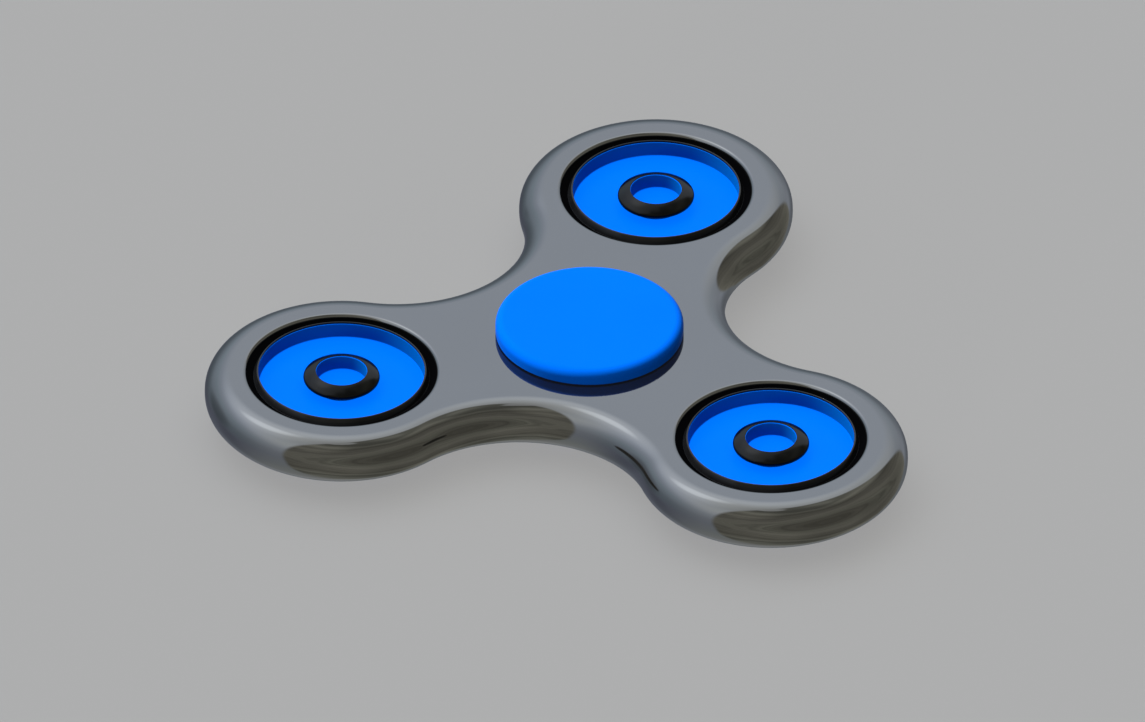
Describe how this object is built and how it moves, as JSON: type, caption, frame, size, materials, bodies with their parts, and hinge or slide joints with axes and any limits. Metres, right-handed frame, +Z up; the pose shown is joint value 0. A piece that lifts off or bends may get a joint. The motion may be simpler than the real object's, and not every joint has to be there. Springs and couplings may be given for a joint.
{
  "type": "fidget spinner",
  "caption": "Three-lobed metal fidget spinner with a shielded ball bearing in each lobe and round finger caps over the centre bearing.",
  "frame": {"origin": "on the spin axis, at the flat face of the lower finger cap", "axes": "+Z up along the spin axis towards the upper finger cap, +Y from the spin axis to lobe 1"},
  "size_m": [0.0838, 0.0769, 0.01],
  "materials": {
    "frame_metal": "polished, with a full-round outer edge",
    "race_black": "gloss black over steel",
    "collar_black": "gloss black over steel",
    "shield_blue": "gloss blue moulding",
    "bush_blue": "gloss blue moulding",
    "cap_blue": "smooth blue moulding with a soft gloss",
    "ball_steel": "ground and polished",
    "cage_brass": "stamped, satin"
  },
  "bodies": {
    "hub": {"cap_top": "cap_blue", "cap_bottom": "cap_blue", "centre_inner_race": "race_black"},
    "spinner": {"frame": "frame_metal", "centre_outer_race": "race_black", "centre_shield_top": "shield_blue", "centre_shield_bottom": "shield_blue", "lobe_1_outer_race": "race_black", "lobe_1_shield_top": "shield_blue", "lobe_1_shield_bottom": "shield_blue", "lobe_2_outer_race": "race_black", "lobe_2_shield_top": "shield_blue", "lobe_2_shield_bottom": "shield_blue", "lobe_3_outer_race": "race_black", "lobe_3_shield_top": "shield_blue", "lobe_3_shield_bottom": "shield_blue"},
    "centre_cage": {"centre_cage": "cage_brass"},
    "lobe_1_bore": {"lobe_1_inner_race": "race_black", "lobe_1_bush": "bush_blue", "lobe_1_collar_top": "collar_black", "lobe_1_collar_bottom": "collar_black"},
    "lobe_1_cage": {"lobe_1_cage": "cage_brass"},
    "lobe_2_bore": {"lobe_2_inner_race": "race_black", "lobe_2_bush": "bush_blue", "lobe_2_collar_top": "collar_black", "lobe_2_collar_bottom": "collar_black"},
    "lobe_2_cage": {"lobe_2_cage": "cage_brass"},
    "lobe_3_bore": {"lobe_3_inner_race": "race_black", "lobe_3_bush": "bush_blue", "lobe_3_collar_top": "collar_black", "lobe_3_collar_bottom": "collar_black"},
    "lobe_3_cage": {"lobe_3_cage": "cage_brass"},
    "centre_ball_1": {"centre_ball_1": "ball_steel"},
    "centre_ball_2": {"centre_ball_2": "ball_steel"},
    "centre_ball_3": {"centre_ball_3": "ball_steel"},
    "centre_ball_4": {"centre_ball_4": "ball_steel"},
    "centre_ball_5": {"centre_ball_5": "ball_steel"},
    "centre_ball_6": {"centre_ball_6": "ball_steel"},
    "centre_ball_7": {"centre_ball_7": "ball_steel"},
    "lobe_1_ball_1": {"lobe_1_ball_1": "ball_steel"},
    "lobe_1_ball_2": {"lobe_1_ball_2": "ball_steel"},
    "lobe_1_ball_3": {"lobe_1_ball_3": "ball_steel"},
    "lobe_1_ball_4": {"lobe_1_ball_4": "ball_steel"},
    "lobe_1_ball_5": {"lobe_1_ball_5": "ball_steel"},
    "lobe_1_ball_6": {"lobe_1_ball_6": "ball_steel"},
    "lobe_1_ball_7": {"lobe_1_ball_7": "ball_steel"},
    "lobe_2_ball_1": {"lobe_2_ball_1": "ball_steel"},
    "lobe_2_ball_2": {"lobe_2_ball_2": "ball_steel"},
    "lobe_2_ball_3": {"lobe_2_ball_3": "ball_steel"},
    "lobe_2_ball_4": {"lobe_2_ball_4": "ball_steel"},
    "lobe_2_ball_5": {"lobe_2_ball_5": "ball_steel"},
    "lobe_2_ball_6": {"lobe_2_ball_6": "ball_steel"},
    "lobe_2_ball_7": {"lobe_2_ball_7": "ball_steel"},
    "lobe_3_ball_1": {"lobe_3_ball_1": "ball_steel"},
    "lobe_3_ball_2": {"lobe_3_ball_2": "ball_steel"},
    "lobe_3_ball_3": {"lobe_3_ball_3": "ball_steel"},
    "lobe_3_ball_4": {"lobe_3_ball_4": "ball_steel"},
    "lobe_3_ball_5": {"lobe_3_ball_5": "ball_steel"},
    "lobe_3_ball_6": {"lobe_3_ball_6": "ball_steel"},
    "lobe_3_ball_7": {"lobe_3_ball_7": "ball_steel"}
  },
  "joints": [
    {"name": "frame_spin", "type": "hinge", "parent": "hub", "child": "spinner", "pos_m": [0, 0, 0.005], "axis": [0, 0, 1], "continuous": true},
    {"name": "centre_cage_orbit", "type": "hinge", "parent": "hub", "child": "centre_cage", "pos_m": [0, 0, 0.005], "axis": [0, 0, 1], "continuous": true},
    {"name": "lobe_1_bore_spin", "type": "hinge", "parent": "spinner", "child": "lobe_1_bore", "pos_m": [0, 0.03, 0.005], "axis": [0, 0, 1], "continuous": true},
    {"name": "lobe_1_cage_orbit", "type": "hinge", "parent": "spinner", "child": "lobe_1_cage", "pos_m": [0, 0.03, 0.005], "axis": [0, 0, 1], "continuous": true},
    {"name": "lobe_2_bore_spin", "type": "hinge", "parent": "spinner", "child": "lobe_2_bore", "pos_m": [-0.02598, -0.015, 0.005], "axis": [0, 0, 1], "continuous": true},
    {"name": "lobe_2_cage_orbit", "type": "hinge", "parent": "spinner", "child": "lobe_2_cage", "pos_m": [-0.02598, -0.015, 0.005], "axis": [0, 0, 1], "continuous": true},
    {"name": "lobe_3_bore_spin", "type": "hinge", "parent": "spinner", "child": "lobe_3_bore", "pos_m": [0.02598, -0.015, 0.005], "axis": [0, 0, 1], "continuous": true},
    {"name": "lobe_3_cage_orbit", "type": "hinge", "parent": "spinner", "child": "lobe_3_cage", "pos_m": [0.02598, -0.015, 0.005], "axis": [0, 0, 1], "continuous": true},
    {"name": "centre_ball_1_roll", "type": "hinge", "parent": "centre_cage", "child": "centre_ball_1", "pos_m": [0.007, 0, 0.005], "axis": [0, 0, 1], "continuous": true},
    {"name": "centre_ball_2_roll", "type": "hinge", "parent": "centre_cage", "child": "centre_ball_2", "pos_m": [0.00436, 0.00547, 0.005], "axis": [0, 0, 1], "continuous": true},
    {"name": "centre_ball_3_roll", "type": "hinge", "parent": "centre_cage", "child": "centre_ball_3", "pos_m": [-0.00156, 0.00682, 0.005], "axis": [0, 0, 1], "continuous": true},
    {"name": "centre_ball_4_roll", "type": "hinge", "parent": "centre_cage", "child": "centre_ball_4", "pos_m": [-0.00631, 0.00304, 0.005], "axis": [0, 0, 1], "continuous": true},
    {"name": "centre_ball_5_roll", "type": "hinge", "parent": "centre_cage", "child": "centre_ball_5", "pos_m": [-0.00631, -0.00304, 0.005], "axis": [0, 0, 1], "continuous": true},
    {"name": "centre_ball_6_roll", "type": "hinge", "parent": "centre_cage", "child": "centre_ball_6", "pos_m": [-0.00156, -0.00682, 0.005], "axis": [0, 0, 1], "continuous": true},
    {"name": "centre_ball_7_roll", "type": "hinge", "parent": "centre_cage", "child": "centre_ball_7", "pos_m": [0.00436, -0.00547, 0.005], "axis": [0, 0, 1], "continuous": true},
    {"name": "lobe_1_ball_1_roll", "type": "hinge", "parent": "lobe_1_cage", "child": "lobe_1_ball_1", "pos_m": [0.007, 0.03, 0.005], "axis": [0, 0, 1], "continuous": true},
    {"name": "lobe_1_ball_2_roll", "type": "hinge", "parent": "lobe_1_cage", "child": "lobe_1_ball_2", "pos_m": [0.00436, 0.03547, 0.005], "axis": [0, 0, 1], "continuous": true},
    {"name": "lobe_1_ball_3_roll", "type": "hinge", "parent": "lobe_1_cage", "child": "lobe_1_ball_3", "pos_m": [-0.00156, 0.03682, 0.005], "axis": [0, 0, 1], "continuous": true},
    {"name": "lobe_1_ball_4_roll", "type": "hinge", "parent": "lobe_1_cage", "child": "lobe_1_ball_4", "pos_m": [-0.00631, 0.03304, 0.005], "axis": [0, 0, 1], "continuous": true},
    {"name": "lobe_1_ball_5_roll", "type": "hinge", "parent": "lobe_1_cage", "child": "lobe_1_ball_5", "pos_m": [-0.00631, 0.02696, 0.005], "axis": [0, 0, 1], "continuous": true},
    {"name": "lobe_1_ball_6_roll", "type": "hinge", "parent": "lobe_1_cage", "child": "lobe_1_ball_6", "pos_m": [-0.00156, 0.02318, 0.005], "axis": [0, 0, 1], "continuous": true},
    {"name": "lobe_1_ball_7_roll", "type": "hinge", "parent": "lobe_1_cage", "child": "lobe_1_ball_7", "pos_m": [0.00436, 0.02453, 0.005], "axis": [0, 0, 1], "continuous": true},
    {"name": "lobe_2_ball_1_roll", "type": "hinge", "parent": "lobe_2_cage", "child": "lobe_2_ball_1", "pos_m": [-0.01898, -0.015, 0.005], "axis": [0, 0, 1], "continuous": true},
    {"name": "lobe_2_ball_2_roll", "type": "hinge", "parent": "lobe_2_cage", "child": "lobe_2_ball_2", "pos_m": [-0.02162, -0.00953, 0.005], "axis": [0, 0, 1], "continuous": true},
    {"name": "lobe_2_ball_3_roll", "type": "hinge", "parent": "lobe_2_cage", "child": "lobe_2_ball_3", "pos_m": [-0.02754, -0.00818, 0.005], "axis": [0, 0, 1], "continuous": true},
    {"name": "lobe_2_ball_4_roll", "type": "hinge", "parent": "lobe_2_cage", "child": "lobe_2_ball_4", "pos_m": [-0.03229, -0.01196, 0.005], "axis": [0, 0, 1], "continuous": true},
    {"name": "lobe_2_ball_5_roll", "type": "hinge", "parent": "lobe_2_cage", "child": "lobe_2_ball_5", "pos_m": [-0.03229, -0.01804, 0.005], "axis": [0, 0, 1], "continuous": true},
    {"name": "lobe_2_ball_6_roll", "type": "hinge", "parent": "lobe_2_cage", "child": "lobe_2_ball_6", "pos_m": [-0.02754, -0.02182, 0.005], "axis": [0, 0, 1], "continuous": true},
    {"name": "lobe_2_ball_7_roll", "type": "hinge", "parent": "lobe_2_cage", "child": "lobe_2_ball_7", "pos_m": [-0.02162, -0.02047, 0.005], "axis": [0, 0, 1], "continuous": true},
    {"name": "lobe_3_ball_1_roll", "type": "hinge", "parent": "lobe_3_cage", "child": "lobe_3_ball_1", "pos_m": [0.03298, -0.015, 0.005], "axis": [0, 0, 1], "continuous": true},
    {"name": "lobe_3_ball_2_roll", "type": "hinge", "parent": "lobe_3_cage", "child": "lobe_3_ball_2", "pos_m": [0.03035, -0.00953, 0.005], "axis": [0, 0, 1], "continuous": true},
    {"name": "lobe_3_ball_3_roll", "type": "hinge", "parent": "lobe_3_cage", "child": "lobe_3_ball_3", "pos_m": [0.02442, -0.00818, 0.005], "axis": [0, 0, 1], "continuous": true},
    {"name": "lobe_3_ball_4_roll", "type": "hinge", "parent": "lobe_3_cage", "child": "lobe_3_ball_4", "pos_m": [0.01967, -0.01196, 0.005], "axis": [0, 0, 1], "continuous": true},
    {"name": "lobe_3_ball_5_roll", "type": "hinge", "parent": "lobe_3_cage", "child": "lobe_3_ball_5", "pos_m": [0.01967, -0.01804, 0.005], "axis": [0, 0, 1], "continuous": true},
    {"name": "lobe_3_ball_6_roll", "type": "hinge", "parent": "lobe_3_cage", "child": "lobe_3_ball_6", "pos_m": [0.02442, -0.02182, 0.005], "axis": [0, 0, 1], "continuous": true},
    {"name": "lobe_3_ball_7_roll", "type": "hinge", "parent": "lobe_3_cage", "child": "lobe_3_ball_7", "pos_m": [0.03035, -0.02047, 0.005], "axis": [0, 0, 1], "continuous": true}
  ],
  "couplings": [
    {"joint": "centre_cage_orbit", "follows": "frame_spin", "ratio": 0.53571},
    {"joint": "lobe_1_cage_orbit", "follows": "lobe_1_bore_spin", "ratio": 0.46429},
    {"joint": "lobe_2_cage_orbit", "follows": "lobe_2_bore_spin", "ratio": 0.46429},
    {"joint": "lobe_3_cage_orbit", "follows": "lobe_3_bore_spin", "ratio": 0.46429},
    {"joint": "centre_ball_1_roll", "follows": "frame_spin", "ratio": 6.9643},
    {"joint": "centre_ball_2_roll", "follows": "frame_spin", "ratio": 6.9643},
    {"joint": "centre_ball_3_roll", "follows": "frame_spin", "ratio": 6.9643},
    {"joint": "centre_ball_4_roll", "follows": "frame_spin", "ratio": 6.9643},
    {"joint": "centre_ball_5_roll", "follows": "frame_spin", "ratio": 6.9643},
    {"joint": "centre_ball_6_roll", "follows": "frame_spin", "ratio": 6.9643},
    {"joint": "centre_ball_7_roll", "follows": "frame_spin", "ratio": 6.9643},
    {"joint": "lobe_1_ball_1_roll", "follows": "lobe_1_bore_spin", "ratio": -6.9643},
    {"joint": "lobe_1_ball_2_roll", "follows": "lobe_1_bore_spin", "ratio": -6.9643},
    {"joint": "lobe_1_ball_3_roll", "follows": "lobe_1_bore_spin", "ratio": -6.9643},
    {"joint": "lobe_1_ball_4_roll", "follows": "lobe_1_bore_spin", "ratio": -6.9643},
    {"joint": "lobe_1_ball_5_roll", "follows": "lobe_1_bore_spin", "ratio": -6.9643},
    {"joint": "lobe_1_ball_6_roll", "follows": "lobe_1_bore_spin", "ratio": -6.9643},
    {"joint": "lobe_1_ball_7_roll", "follows": "lobe_1_bore_spin", "ratio": -6.9643},
    {"joint": "lobe_2_ball_1_roll", "follows": "lobe_2_bore_spin", "ratio": -6.9643},
    {"joint": "lobe_2_ball_2_roll", "follows": "lobe_2_bore_spin", "ratio": -6.9643},
    {"joint": "lobe_2_ball_3_roll", "follows": "lobe_2_bore_spin", "ratio": -6.9643},
    {"joint": "lobe_2_ball_4_roll", "follows": "lobe_2_bore_spin", "ratio": -6.9643},
    {"joint": "lobe_2_ball_5_roll", "follows": "lobe_2_bore_spin", "ratio": -6.9643},
    {"joint": "lobe_2_ball_6_roll", "follows": "lobe_2_bore_spin", "ratio": -6.9643},
    {"joint": "lobe_2_ball_7_roll", "follows": "lobe_2_bore_spin", "ratio": -6.9643},
    {"joint": "lobe_3_ball_1_roll", "follows": "lobe_3_bore_spin", "ratio": -6.9643},
    {"joint": "lobe_3_ball_2_roll", "follows": "lobe_3_bore_spin", "ratio": -6.9643},
    {"joint": "lobe_3_ball_3_roll", "follows": "lobe_3_bore_spin", "ratio": -6.9643},
    {"joint": "lobe_3_ball_4_roll", "follows": "lobe_3_bore_spin", "ratio": -6.9643},
    {"joint": "lobe_3_ball_5_roll", "follows": "lobe_3_bore_spin", "ratio": -6.9643},
    {"joint": "lobe_3_ball_6_roll", "follows": "lobe_3_bore_spin", "ratio": -6.9643},
    {"joint": "lobe_3_ball_7_roll", "follows": "lobe_3_bore_spin", "ratio": -6.9643}
  ]
}
